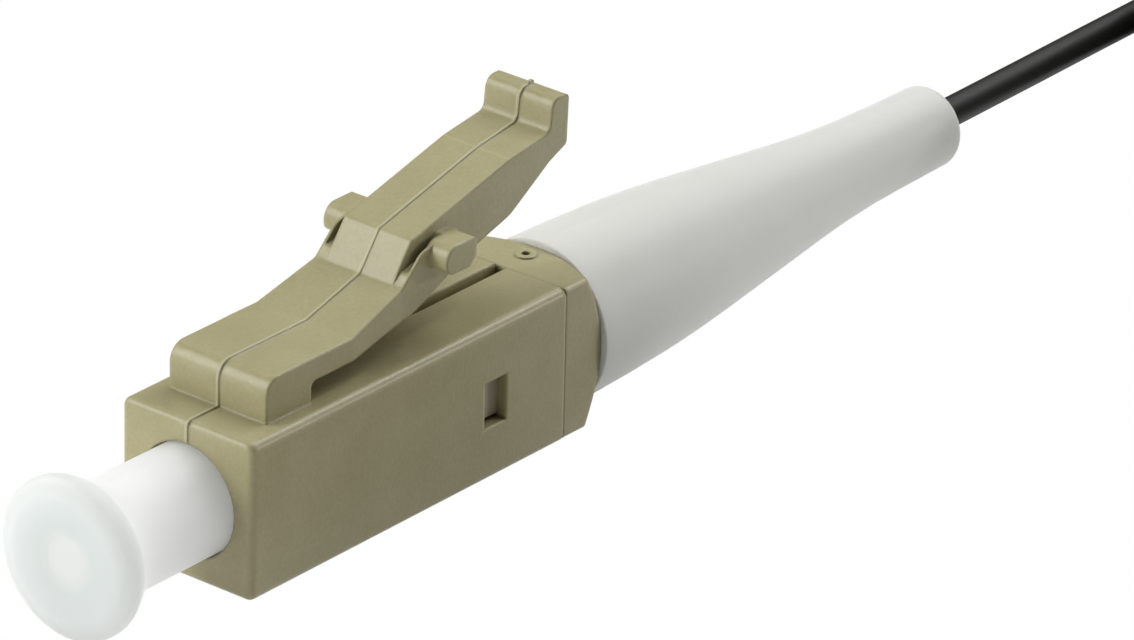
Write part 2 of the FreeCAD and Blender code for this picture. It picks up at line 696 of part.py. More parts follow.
def rounded_route(points):
    """Straight runs joined by tangent arcs, each as large as its two runs allow."""
    edges = []
    here = points[0]
    for before, corner, after in zip(points, points[1:], points[2:]):
        back = (before - corner).normalize()
        ahead = (after - corner).normalize()
        half_turn = (math.pi - back.getAngle(ahead)) / 2
        reach = 0.45 * min(before.distanceToPoint(corner), after.distanceToPoint(corner))
        radius = reach / math.tan(half_turn)
        print("cord arc radius %.1f mm" % radius)
        start = corner + back * reach
        end = corner + ahead * reach
        bisector = (back + ahead).normalize()
        middle = corner + bisector * (radius / math.cos(half_turn) - radius)
        edges.append(Part.LineSegment(here, start).toShape())
        edges.append(Part.Arc(start, middle, end).toShape())
        here = end
    edges.append(Part.LineSegment(here, points[-1]).toShape())
    return Part.Wire(edges)


def make_cord(coil_solid):
    """Tight-buffered fibre from the flange, through spring, stop body and boot, to the coil."""
    inside = BODY_LENGTH + size("boot_shoulder")
    route = [
        V(0, CORD_START, 0),
        V(0, inside, 0),
        V(0, BOOT_END + 1.4, 0.9 * size("cord_clear")),
        V(0, size("coil_place"), 0.22),
    ]
    path = rounded_route(route)
    section_wire = Part.Wire([Part.Circle(route[0], route[1] - route[0], CORD).toShape()])
    tube = path.makePipeShell([section_wire], True, False)
    print("cord volume %.3f mm3, section times length %.3f mm3" % (
        tube.Volume, math.pi * CORD ** 2 * path.Length))
    channel = Part.makeCylinder(size("coating_dia") / 2 + 0.02, size("float_travel") + 0.3,
                                route[0], V(0, 1, 0))
    buffer = doc.addObject("Part::Feature", "Buffer")
    buffer.Shape = tube.cut(channel).cut(coil_solid)
    finish(buffer, "cord")


make_housing()
make_latch_arm()
make_ferrule()
make_flange()
fibre_piece("Glass", "Sizes.glass_dia", -size("ferrule_reach"), size("ferrule_length"), "glass_fibre")
fibre_piece("Coated", "Sizes.coating_dia", FERRULE_REAR, CORD_START - FERRULE_REAR + 0.1, "coated_fibre")
make_spring()
make_stop_body()
make_boot()
make_dust_cap()
COIL_SOLID = make_coil()
make_cord(COIL_SOLID)
doc.recompute()

for item in doc.Objects:
    if "Invalid" in item.State or "Error" in item.State:
        raise RuntimeError("%s did not recompute: %s" % (item.Name, item.State))
for node in nodes:
    if node.Shape.isNull() or not node.Shape.isValid():
        raise RuntimeError(node.Label + " has no valid shape")

os.makedirs("parts", exist_ok=True)
for node in nodes:
    node.Shape.exportStep(os.path.join("parts", node.Label + ".step"))
    extent = node.Shape.BoundBox
    print("%-15s solids %d volume %8.3f  x %.2f..%.2f  y %.2f..%.2f  z %.2f..%.2f" % (
        node.Label, len(node.Shape.Solids), node.Shape.Volume,
        extent.XMin, extent.XMax, extent.YMin, extent.YMax, extent.ZMin, extent.ZMax))
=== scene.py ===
# %% [markdown]
# # A small fibre plug and its pigtail
# This lesson dresses a imported CAD model of a simplex fibre plug: a beige housing with a thumb latch,
# a frosted dust cap over the ferrule, a white boot, and a thin black fibre.  The CAD holds the shapes
# and the places, so the script only adds finishes, the fibre as a smooth curve, a copy of the spring,
# a skin over the hinge, a camera and lights.  Everything is in metres, and the plug is under 40 mm long.

# %% The frame
import json
import math

import bmesh
import bpy
from mathutils import Matrix, Vector


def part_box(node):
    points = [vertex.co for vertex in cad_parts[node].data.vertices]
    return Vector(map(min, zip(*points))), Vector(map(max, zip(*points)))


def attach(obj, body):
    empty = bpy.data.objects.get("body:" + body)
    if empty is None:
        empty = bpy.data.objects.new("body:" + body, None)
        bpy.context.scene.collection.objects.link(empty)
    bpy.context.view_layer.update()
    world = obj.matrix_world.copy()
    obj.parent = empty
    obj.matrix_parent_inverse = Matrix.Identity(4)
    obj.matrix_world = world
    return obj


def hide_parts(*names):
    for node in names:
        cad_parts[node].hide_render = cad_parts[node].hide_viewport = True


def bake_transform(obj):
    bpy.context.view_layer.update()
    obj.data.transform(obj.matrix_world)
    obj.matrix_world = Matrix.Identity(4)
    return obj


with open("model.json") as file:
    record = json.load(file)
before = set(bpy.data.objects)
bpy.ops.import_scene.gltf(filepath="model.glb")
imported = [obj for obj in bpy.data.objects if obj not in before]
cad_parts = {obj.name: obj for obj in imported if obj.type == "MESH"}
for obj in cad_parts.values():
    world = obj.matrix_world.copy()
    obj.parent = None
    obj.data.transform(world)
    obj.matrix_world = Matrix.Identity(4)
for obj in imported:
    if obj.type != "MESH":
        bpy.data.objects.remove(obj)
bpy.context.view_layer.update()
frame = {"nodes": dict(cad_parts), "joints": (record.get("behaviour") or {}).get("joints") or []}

MM = 0.001
nodes = frame["nodes"]
print("CAD nodes:", ", ".join(sorted(nodes)))

# %% [markdown]
# ## Places that the pieces share
# The fibre's axis lies at half the boot's height.  The mating face of the housing is the front of its
# box, but for the raised parting line, and lengths along the plug are counted from there.  Directions
# are given as two angles, since that is how one thinks of a camera or a lamp.

# %% Shared places
boot_low, boot_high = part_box("boot")
housing_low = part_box("housing")[0]
RIB_RISE = 0.03 * MM
AXIS_Z = (boot_low.z + boot_high.z) / 2
MATING_Y = housing_low.y + RIB_RISE
print("axis %.2f mm up, mating face at y = %.2f mm" % (AXIS_Z / MM, MATING_Y / MM))


def place(x, along, up):
    """A point from millimetres across, along from the mating face, and up from the fibre's axis."""
    return Vector((x * MM, MATING_Y + along * MM, AXIS_Z + up * MM))


def direction(azimuth, elevation):
    """A unit vector away from the plug, from degrees; azimuth 0 is its front and 90 its right side."""
    turn, lift = math.radians(azimuth), math.radians(elevation)
    return Vector((math.sin(turn) * math.cos(lift), -math.cos(turn) * math.cos(lift), math.sin(lift)))


# %% [markdown]
# ## Camera
# The view is a close one with a long lens, from the front, right and above.  A camera is easiest to
# reason about as an aim point, two angles, a roll and a distance: the lens then sets how much is seen.

# %% Camera
AZIMUTH, ELEVATION, ROLL = 38.820, 25.595, 1.346
DISTANCE = 0.241
LENS, SENSOR = 290.89, 36  # millimetres, as on a real camera
aim = place(2.979, 11.709, 1.902)

back = direction(AZIMUTH, ELEVATION)
turn, tilt = math.radians(AZIMUTH), math.radians(ROLL)
level_right = Vector((math.cos(turn), math.sin(turn), 0))
level_up = back.cross(level_right)
right = level_right * math.cos(tilt) + level_up * math.sin(tilt)
up = level_up * math.cos(tilt) - level_right * math.sin(tilt)

camera_data = bpy.data.cameras.new("camera")
camera_data.lens = LENS
camera_data.sensor_width = SENSOR
camera_data.clip_start = 0.01
camera = bpy.data.objects.new("camera", camera_data)
turned = Matrix((right, up, back)).transposed().to_4x4()
camera.matrix_world = Matrix.Translation(aim + back * DISTANCE) @ turned
bpy.context.scene.collection.objects.link(camera)
bpy.context.scene.camera = camera
print("camera at", [round(c, 4) for c in camera.location])

# %% [markdown]
# ## The fibre's winding
# A metre of fibre is put away in a small coil behind the plug, wound in six layers.  The fibre arrives in
# the third layer, works down to the lowest, climbs once round the inside and fills the upper three.  Each
# layer is wound inwards or outwards, so that neighbours lie one diameter apart.  A screw modifier winds
# only one plain helix, so the winding is a list of stations instead: each has the turns made so far, the
# radius and the height.

# %% Stations of the winding
FIBRE = 0.9 * MM
LAYER_ORDER = (2, 1, 0, 3, 4, 5)
LAYER_RISE = 0.93 * MM
LOWEST_LINE = 0.5 * MM  # height of the lowest layer's line over the coil's underside
TURNS_IN_LAYER = 4.25
CHANGE = 0.1  # turns on each side of a change of layer
CLIMB_STARTS, CLIMB_ENDS = 0.3, 2.7  # layers above the lowest, at the two ends of the climb

coil_low, coil_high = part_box("cord_coil")
coil_centre = (coil_low + coil_high) / 2
outer_radius = (coil_high.x - coil_low.x) / 2 - FIBRE / 2
inner_radius = outer_radius - TURNS_IN_LAYER * FIBRE
lowest = coil_low.z + LOWEST_LINE

stations = []
turns = 0
for number, layer in enumerate(LAYER_ORDER):
    height = lowest + layer * LAYER_RISE
    radii = (outer_radius, inner_radius) if number % 2 == 0 else (inner_radius, outer_radius)
    stations.append((turns + CHANGE if turns else 0, radii[0], height))
    turns += TURNS_IN_LAYER
    stations.append((turns - CHANGE, radii[1], height))
    if layer == 0:
        inside = inner_radius - FIBRE
        stations.append((turns + 2 * CHANGE, inside, height + CLIMB_STARTS * LAYER_RISE))
        stations.append((turns + 1 - 2 * CHANGE, inside, height + CLIMB_ENDS * LAYER_RISE))
        turns += 1
stations.append((turns + CHANGE, outer_radius, height))
print("winding: %d stations, %.1f turns" % (len(stations), turns))

# %% [markdown]
# ## The fibre's route
# A buffered fibre is springy: it leaves the boot dead straight and only bends slowly.  The first four
# points are those of the CAD tube, from inside the plug to the coil.  A loop then places sixteen points
# a turn between the stations, which is enough for a round turn.

# %% The fibre's route
POINTS_IN_TURN = 16
route = [place(0, 7.9, 0), place(0, 18.5, 0), place(0, 33.05, 0.045), place(0, 45, 0.22)]
for step in range(1, int(stations[-1][0] * POINTS_IN_TURN) + 1):
    turns = step / POINTS_IN_TURN
    before = max(station for station in stations if station[0] < turns)
    after = min(station for station in stations if station[0] >= turns)
    share = (turns - before[0]) / (after[0] - before[0])
    radius = before[1] + share * (after[1] - before[1])
    height = before[2] + share * (after[2] - before[2])
    angle = math.pi - 2 * math.pi * turns
    route.append(Vector((coil_centre.x + radius * math.cos(angle),
                         coil_centre.y + radius * math.sin(angle), height)))
print("route:", len(route), "points")

# %% [markdown]
# ## The fibre
# The fibre could be a swept mesh, but a NURBS spline is smooth at any distance and takes its thickness
# from a few numbers.  Its order is set after the points are there, because a spline with too few points
# falls back to straight runs.  The thickness is written as each point's radius, on a bevel depth of 1,
# because Blender adds that radius to the line's bounding box.

# %% The fibre
line = bpy.data.curves.new("fibre_line", "CURVE")
line.dimensions = "3D"
line.bevel_depth = 1
line.bevel_resolution = 3
line.resolution_u = 4
line.use_fill_caps = True
spline = line.splines.new("NURBS")
spline.points.add(len(route) - 1)
for point, position in zip(spline.points, route):
    point.co = (*position, 1)
    point.radius = FIBRE / 2
spline.order_u = 3
spline.use_endpoint_u = True
fibre = bpy.data.objects.new("buffered_fibre", line)
bpy.context.scene.collection.objects.link(fibre)
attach(fibre, "plug")
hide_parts("cord", "cord_coil")
print("fibre: %.1f mm thick" % (FIBRE / MM))

# %% [markdown]
# ## Shared effects
# Every finish here is built from a few effects, made once as node groups.  A group gives plain values,
# such as a height for a bump or a colour, and the material's own shader takes them in.

# %% Groups and sockets
FLOAT, COLOUR, VECTOR = "NodeSocketFloat", "NodeSocketColor", "NodeSocketVector"


def new_group(name, inputs, outputs):
    """An empty shader node group with these sockets, and its two end nodes."""
    group = bpy.data.node_groups.new(name, "ShaderNodeTree")
    for label, kind, value in inputs:
        socket = group.interface.new_socket(label, in_out="INPUT", socket_type=kind)
        socket.default_value = value
    for label, kind in outputs:
        group.interface.new_socket(label, in_out="OUTPUT", socket_type=kind)
    return group, group.nodes.new("NodeGroupInput"), group.nodes.new("NodeGroupOutput")


def feed(tree, socket, value):
    """Give an input socket another node's output, or a plain number or colour."""
    if isinstance(value, bpy.types.NodeSocket):
        tree.links.new(value, socket)
    elif value is not None:
        socket.default_value = value


print("helpers: new_group, feed")

# %% [markdown]
# ### Nodes that come back
# Wiring nodes by hand takes many lines.  These helpers each make one kind of node, link what goes in and
# hand back what comes out, so that a group below reads almost like a sum.

# %% Nodes that come back


def noise(tree, scale, detail, coordinates):
    """The value of a noise texture on these coordinates."""
    node = tree.nodes.new("ShaderNodeTexNoise")
    node.inputs["Scale"].default_value = scale
    node.inputs["Detail"].default_value = detail
    tree.links.new(coordinates, node.inputs["Vector"])
    return node.outputs["Fac"]


def math_node(tree, operation, first, second=None, third=None):
    """The value of a math node fed by sockets or numbers."""
    node = tree.nodes.new("ShaderNodeMath")
    node.operation = operation
    for socket, value in zip(node.inputs, (first, second, third)):
        feed(tree, socket, value)
    return node.outputs["Value"]


def blend_tones(tree, factor, first, second):
    """Colour that goes from first to second as the factor goes from 0 to 1."""
    node = tree.nodes.new("ShaderNodeMix")
    node.data_type = "RGBA"
    for label, value in (("Factor", factor), ("A", first), ("B", second)):
        feed(tree, node.inputs[label], value)
    return node.outputs["Result"]


def ramp(tree, value, low, high, start=0, end=1, kind="LINEAR"):
    """start below low, end above high, and between them in a straight or a smooth line."""
    node = tree.nodes.new("ShaderNodeMapRange")
    node.interpolation_type = kind
    for label, number in (("From Min", low), ("From Max", high), ("To Min", start), ("To Max", end)):
        node.inputs[label].default_value = number
    tree.links.new(value, node.inputs["Value"])
    return node.outputs["Result"]


def split(tree, vector):
    """The x, y and z of a vector."""
    node = tree.nodes.new("ShaderNodeSeparateXYZ")
    tree.links.new(vector, node.inputs["Vector"])
    return node.outputs["X"], node.outputs["Y"], node.outputs["Z"]


print("helpers: noise, math_node, blend_tones, ramp, split")

# %% [markdown]
# ### Moulded surface
# A moulded part copies the fine texture of its mould, and its colour drifts a little where the melt
# flowed.  A fine noise gives the texture's height, and a slower one is added to it to mottle two tones.
# Seams and grooves get painted shade: the ambient occlusion node darkens narrow places towards a
# crevice tone.  No mould has sharp edges: the bevel node bends the normals near each edge, as a small
# rounding would, and costs no faces.

# %% Moulded surface
DRIFT_SCALE, DRIFT_DETAIL = 700, 6  # scales are per metre
GRAIN_SCALE, GRAIN_DETAIL = 9000, 4
GRAIN_IN_ROUGHNESS = 0.16
CREVICE_SHUT, CREVICE_OPEN = 0.2, 0.5  # share of open sky, at full shade and at none
SAMPLES = 8
moulded, start, end = new_group(
    "moulded surface",
    [("Light tone", COLOUR, (0.5, 0.5, 0.5, 1)), ("Dark tone", COLOUR, (0.4, 0.4, 0.4, 1)),
     ("Crevice tone", COLOUR, (0.1, 0.1, 0.1, 1)), ("Crevice width", FLOAT, 0.2 * MM),
     ("Roughness", FLOAT, 0.4), ("Edge radius", FLOAT, 0.05 * MM)],
    [("Color", COLOUR), ("Roughness", FLOAT), ("Height", FLOAT), ("Normal", VECTOR)])
where = moulded.nodes.new("ShaderNodeTexCoord")
drift = noise(moulded, DRIFT_SCALE, DRIFT_DETAIL, where.outputs["Object"])
grain = noise(moulded, GRAIN_SCALE, GRAIN_DETAIL, where.outputs["Object"])
mottle = math_node(moulded, "SUBTRACT", math_node(moulded, "ADD", drift, grain), 0.5)
mottled = blend_tones(moulded, mottle, start.outputs["Dark tone"], start.outputs["Light tone"])

# Painted shade: where a point sees little open sky, its colour goes to the crevice tone.
crevice_shade = moulded.nodes.new("ShaderNodeAmbientOcclusion")
crevice_shade.samples = SAMPLES
moulded.links.new(start.outputs["Crevice width"], crevice_shade.inputs["Distance"])
openness = ramp(moulded, crevice_shade.outputs["AO"], CREVICE_SHUT, CREVICE_OPEN)
edges = moulded.nodes.new("ShaderNodeBevel")
edges.samples = SAMPLES
moulded.links.new(start.outputs["Edge radius"], edges.inputs["Radius"])

feed(moulded, end.inputs["Color"],
     blend_tones(moulded, openness, start.outputs["Crevice tone"], mottled))
feed(moulded, end.inputs["Roughness"],
     math_node(moulded, "MULTIPLY_ADD", grain, GRAIN_IN_ROUGHNESS, start.outputs["Roughness"]))
feed(moulded, end.inputs["Height"], grain)
feed(moulded, end.inputs["Normal"], edges.outputs["Normal"])
print("group:", moulded.name)

# %% [markdown]
# ### Parting line, with a painted highlight
# Two halves of a mould leave a fine raised line where they met.  The CAD has the line's form, and this
# group marks it for a lighter tone, a painted highlight along its crest.  It runs at x = 0 over the
# front, the root of the latch and the lever, and a second, fainter one crosses the lever at its kink: it
# too gets a painted highlight.  A mask made from positions needs no unwrapping.

# %% Parting line highlight
LINE_FEATHER = 0.03 * MM
KINK_HALF_WIDTH, KINK_FEATHER, KINK_STRENGTH = 0.02 * MM, 0.04 * MM, 0.45
latch_hinge = next(joint for joint in frame["joints"] if joint["name"] == "latch_press")
hinge = Vector(latch_hinge["pos_m"])
KINK_Y = hinge.y + 7.71 * MM
ARM_FROM_Z, LEVER_FROM_Z = hinge.z - 0.5 * MM, hinge.z + 2 * MM
parting_highlight, start, end = new_group("parting line highlight", [("Half width", FLOAT, 0.05 * MM)], [("Mask", FLOAT)])


def stripe(tree, coordinate, half_width, feather):
    """1 inside a stripe about zero, fading to 0 over the feather."""
    outside = math_node(tree, "SUBTRACT", math_node(tree, "ABSOLUTE", coordinate), half_width)
    inside = math_node(tree, "SUBTRACT", 1, math_node(tree, "DIVIDE", outside, feather))
    return math_node(tree, "MINIMUM", math_node(tree, "MAXIMUM", inside, 0), 1)


where = parting_highlight.nodes.new("ShaderNodeTexCoord")
x, y, z = split(parting_highlight, where.outputs["Object"])
facing_up = split(parting_highlight, where.outputs["Normal"])[2]

front = math_node(parting_highlight, "MULTIPLY", math_node(parting_highlight, "LESS_THAN", y, hinge.y),
                  math_node(parting_highlight, "GREATER_THAN", z, AXIS_Z))
allowed = math_node(parting_highlight, "MAXIMUM", front, math_node(parting_highlight, "GREATER_THAN", z, ARM_FROM_Z))
lengthwise = stripe(parting_highlight, x, start.outputs["Half width"], LINE_FEATHER)
lengthwise = math_node(parting_highlight, "MULTIPLY", lengthwise, allowed)

on_lever = math_node(parting_highlight, "MULTIPLY", math_node(parting_highlight, "GREATER_THAN", z, LEVER_FROM_Z),
                     math_node(parting_highlight, "GREATER_THAN", facing_up, 0.5))
from_kink = math_node(parting_highlight, "SUBTRACT", y, KINK_Y)
crosswise = stripe(parting_highlight, from_kink, KINK_HALF_WIDTH, KINK_FEATHER)
crosswise = math_node(parting_highlight, "MULTIPLY", crosswise, on_lever)
crosswise = math_node(parting_highlight, "MULTIPLY", crosswise, KINK_STRENGTH)
feed(parting_highlight, end.inputs["Mask"], math_node(parting_highlight, "MAXIMUM", lengthwise, crosswise))
print("group:", parting_highlight.name)

# %% [markdown]
# ### Cap light and shade
# The frosted cap's colour holds painted light and shade: its front disc is painted greyer than the barrel
# as shade, its rim greyer still, and a paler spot of painted light sits over the hollow for the ferrule.
# Two distances make that: along the axis from the cap's front, and out from the axis.

# %% Cap light and shade
SPOT_FADE = (0.4 * MM, 1.0 * MM)  # out from the axis: here the spot gives way to the disc
RIM_FADE = (1.75 * MM, 2.1 * MM)  # out from the axis: here the disc gives way to the rim
BARREL_FADE = (0.3 * MM, 1.2 * MM)  # back from the cap's front: here the barrel's tone comes in
# Disc and rim tones are painted shade, and the spot a paler patch of painted light.
cap_shading, start, end = new_group("cap light and shade", [("Barrel", COLOUR, (0.97, 0.985, 0.975, 1)),
                                          ("Disc", COLOUR, (0.62, 0.66, 0.65, 1)),
                                          ("Spot", COLOUR, (0.74, 0.75, 0.73, 1)),
                                          ("Rim", COLOUR, (0.58, 0.6, 0.58, 1))], [("Color", COLOUR)])
cap_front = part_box("dust_cap")[0].y
where = cap_shading.nodes.new("ShaderNodeTexCoord")
x, y, z = split(cap_shading, where.outputs["Object"])
height = math_node(cap_shading, "SUBTRACT", z, AXIS_Z)
squares = math_node(cap_shading, "ADD", math_node(cap_shading, "MULTIPLY", x, x),
                    math_node(cap_shading, "MULTIPLY", height, height))
from_axis = math_node(cap_shading, "SQRT", squares)
past_spot = ramp(cap_shading, from_axis, *SPOT_FADE, kind="SMOOTHSTEP")
past_disc = ramp(cap_shading, from_axis, *RIM_FADE, kind="SMOOTHSTEP")
on_barrel = ramp(cap_shading, y, *(cap_front + fade for fade in BARREL_FADE), kind="SMOOTHSTEP")
tone = blend_tones(cap_shading, past_spot, start.outputs["Spot"], start.outputs["Disc"])
tone = blend_tones(cap_shading, past_disc, tone, start.outputs["Rim"])
feed(cap_shading, end.inputs["Color"], blend_tones(cap_shading, on_barrel, tone, start.outputs["Barrel"]))
print("group:", cap_shading.name)

# %% [markdown]
# ## Parts of a material
# The principled shader stays in the material itself, where its fixed values are easy to see.  The bump
# node takes the group's height; its distance is a real depth in metres, a few microns here.

# %% Parts of a material


def shader(name):
    """A new material with its principled shader."""
    made = bpy.data.materials.new(name)
    made.use_nodes = True
    return made, made.node_tree.nodes["Principled BSDF"]


def set_values(node, values):
    """Plain values on a node's inputs, whose names are written with an underscore for a space."""
    for label, value in values.items():
        node.inputs[label.replace("_", " ")].default_value = value


def group_node(tree, group, **values):
    """A node group placed in a material, with its own values."""
    node = tree.nodes.new("ShaderNodeGroup")
    node.node_tree = group
    set_values(node, values)
    return node


def add_bump(tree, principled, height, depth, normal=None):
    """Let a height bend the shader's normal; depth is in metres."""
    node = tree.nodes.new("ShaderNodeBump")
    node.inputs["Distance"].default_value = depth
    feed(tree, node.inputs["Height"], height)
    if normal is not None:
        feed(tree, node.inputs["Normal"], normal)
    feed(tree, principled.inputs["Normal"], node.outputs["Normal"])


def dress(node_name, material):
    """Give a CAD node one material."""
    mesh = nodes[node_name].data
    mesh.materials.clear()
    mesh.materials.append(material)
    print(node_name, "->", material.name)


print("helpers: shader, set_values, group_node, add_bump, dress")

# %% [markdown]
# ### A moulded material
# Most pieces here are moulded, so one helper makes their material from two tones, a roughness and the
# depth of the texture.  Light that enters these nearly grey plastics spreads as far in red as in blue,
# so the subsurface radius is the same in all three.

# %% A moulded material
# The crevice tone is painted shade; this is how far from a wall it reaches.
CREVICE_WIDTH = 0.6 * MM


def moulded_material(name, light, dark, roughness, depth, edge=0.05, crevice_shade=None, **fixed):
    """Plastic with the moulded surface; edge is in millimetres, fixed values go to the shader."""
    made, principled = shader(name)
    tree = made.node_tree
    surface = group_node(tree, moulded, Light_tone=(*light, 1), Dark_tone=(*dark, 1),
                         Crevice_tone=(*(crevice_shade or dark), 1), Crevice_width=CREVICE_WIDTH,
                         Roughness=roughness - GRAIN_IN_ROUGHNESS / 2, Edge_radius=edge * MM)
    feed(tree, principled.inputs["Base Color"], surface.outputs["Color"])
    feed(tree, principled.inputs["Roughness"], surface.outputs["Roughness"])
    add_bump(tree, principled, surface.outputs["Height"], depth, surface.outputs["Normal"])
    principled.inputs["Subsurface Radius"].default_value = (1, 1, 1)
    set_values(principled, fixed)
    return made


print("crevices are up to %.1f mm wide" % (CREVICE_WIDTH / MM))

# %% [markdown]
# ### Beige plastic
# The housing and its latch are one satin moulding with soft edges.  The parting line's mask blends a
# lighter tone in, a painted highlight, between the moulded surface's colour and the shader.

# %% Beige plastic
# The brown crevice tone is painted shade in the seams and grooves of the housing and latch.
beige = moulded_material("beige plastic", light=(0.475, 0.435, 0.252), dark=(0.375, 0.335, 0.173),
                         roughness=0.32, depth=6e-6, edge=0.13, crevice_shade=(0.14, 0.115, 0.06),
                         Subsurface_Weight=0.1, Subsurface_Scale=0.0004)
tree = beige.node_tree
base_colour = tree.nodes["Principled BSDF"].inputs["Base Color"]
unlined = base_colour.links[0].from_socket
# The lighter tone along the line is a painted highlight.
line_highlight_mask = group_node(tree, parting_highlight).outputs["Mask"]
feed(tree, base_colour, blend_tones(tree, line_highlight_mask, unlined, (0.52, 0.48, 0.29, 1)))
dress("housing", beige)
dress("latch_arm", beige)

# %% [markdown]
# ### Pale plastics
# The insert behind the window is a paler grade of the same plastic.  The boot is a soft white polymer:
# light goes a millimetre into it before it comes out, which takes the hardness from its shading.

# %% Insert and boot
pale = moulded_material("pale plastic", light=(0.50, 0.46, 0.33), dark=(0.46, 0.42, 0.30),
                        roughness=0.45, depth=3e-6)
dress("stop_body", pale)
# The boot's pale crevice tone paints only a little shade into its hollows.
boot_white = moulded_material("white boot", light=(0.775, 0.78, 0.74), dark=(0.745, 0.75, 0.705),
                              roughness=0.5, depth=4e-6, edge=0.08, crevice_shade=(0.7, 0.68, 0.62),
                              Subsurface_Weight=0.4, Subsurface_Scale=0.001)
dress("boot", boot_white)

# %% [markdown]
# ### Frosted cap
# The dust cap is translucent.  Full transmission would need many samples to look clean, so most of the
# light is scattered under the surface, over four millimetres, which is about the cap's width, and only a
# tenth goes straight through.  A little emission stands for the light that a white surround sends in.

# %% Dust cap
frosted = moulded_material("frosted cap", light=(0.97, 0.985, 0.975), dark=(0.95, 0.965, 0.96),
                           roughness=0.5, depth=3e-6, edge=0.22,
                           Transmission_Weight=0.1, IOR=1.49,
                           Subsurface_Weight=1.0, Subsurface_Scale=0.004,
                           Emission_Color=(0.95, 0.97, 0.95, 1), Emission_Strength=0.12)
tree = frosted.node_tree
# The cap's base colour takes its painted light and shade from the group.
feed(tree, tree.nodes["Principled BSDF"].inputs["Base Color"], group_node(tree, cap_shading).outputs["Color"])
dress("dust_cap", frosted)

# %% [markdown]
# ### Fibre, tie and coating
# The buffer on the fibre is black with a dull shine, so its specular level is lowered.  The tie round
# the coil is rougher, and the coating on the fibre inside the plug is nearly white.

# %% Fibre, tie and coating
buffer_black = moulded_material("black buffer", light=(0.022, 0.022, 0.020), dark=(0.016, 0.016, 0.015),
                                roughness=0.5, depth=2e-6, Specular_IOR_Level=0.3)
fibre.data.materials.append(buffer_black)
strap = moulded_material("tie strap", light=(0.03, 0.03, 0.032), dark=(0.015, 0.015, 0.016),
                         roughness=0.8, depth=2e-5)
dress("coil_tie", strap)
coating = moulded_material("fibre coating", light=(0.8, 0.84, 0.88), dark=(0.76, 0.8, 0.85),
                           roughness=0.3, depth=1e-6)
dress("coated_fibre", coating)

# %% [markdown]
# ## Hard pieces inside
# The ferrule is polished zirconia, the flange turned and plated brass, the spring drawn wire.  The
# ferrule shows when the cap is off.  The others sit deeper, but the model may be taken apart, so they
# get their finish too.  Turned metal has fine rings round its axis: a wave texture along Y makes them.

# %% Ceramic, metal and glass
zirconia = moulded_material("zirconia", light=(0.86, 0.86, 0.83), dark=(0.84, 0.84, 0.81),
                            roughness=0.14, depth=5e-7)
dress("ferrule", zirconia)


def turned_metal(name, colour, roughness, ring_scale):
    """Metal with fine turning rings round Y."""
    made, principled = shader(name)
    tree = made.node_tree
    spot = tree.nodes.new("ShaderNodeTexCoord")
    rings = tree.nodes.new("ShaderNodeTexWave")
    rings.bands_direction = "Y"
    set_values(rings, {"Scale": ring_scale, "Distortion": 1.5})
    feed(tree, rings.inputs["Vector"], spot.outputs["Object"])
    add_bump(tree, principled, rings.outputs["Fac"], depth=2e-6)
    set_values(principled, {"Base_Color": (*colour, 1), "Metallic": 1, "Roughness": roughness})
    return made


dress("ferrule_flange", turned_metal("nickel plate", (0.66, 0.63, 0.57), 0.28, ring_scale=3000))
dress("spring", turned_metal("spring wire", (0.55, 0.55, 0.56), 0.3, ring_scale=6000))
glass, glass_shader = shader("silica")
set_values(glass_shader, {"Transmission_Weight": 1, "Roughness": 0.02, "IOR": 1.46})
dress("glass_fibre", glass)

# %% [markdown]
# ## The spring
# The ferrule floats back against its spring, so the spring has to shorten between its seat in the body
# and the flange.  A rigid spring would cut into one of them.  A copy of its mesh stands for it here,
# and the CAD spring is hidden.

# %% Spring
spring_coils = bpy.data.objects.new("spring_coils", nodes["spring"].data.copy())
bpy.context.scene.collection.objects.link(spring_coils)
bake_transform(spring_coils)
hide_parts("spring")

# %% [markdown]
# ## The living hinge
# The latch arm bends where it leaves its root, and the CAD stands in for that with a knuckle in a round
# seat.  The real moulding is one piece, so a skin four microns outside the arm covers the place.  Its
# section is the arm's own, with the parting line on top.

# %% Section of the arm
SKIN = 0.004 * MM
ARM_HALF_WIDTH, ARM_HALF_THICK = 1.65 * MM, 0.32 * MM
RIB_HALF_WIDTH = 0.045 * MM


def arm_section(grow):
    """Corners of the arm's section with its parting line, grown outwards."""
    side, half = ARM_HALF_WIDTH + grow, ARM_HALF_THICK + grow
    rib_side, rib_top = RIB_HALF_WIDTH + grow, half + RIB_RISE
    return [(-side, -half), (side, -half), (side, half), (rib_side, half), (rib_side, rib_top),
            (-rib_side, rib_top), (-rib_side, half), (-side, half)]


print("the arm's section has", len(arm_section(SKIN)), "corners")

# %% [markdown]
# ### The skin
# The skin is a short tube of such sections, one ring behind the other, with a face between each corner
# of one ring and the next.  It stands out most at its middle and thins towards both ends, so that no
# edge shows.

# %% Hinge skin
HINGE_AHEAD, HINGE_BEHIND, HINGE_RINGS = 0.45 * MM, 0.4 * MM, 13
END_SHARE = 0.15  # of the skin's height, at its two ends

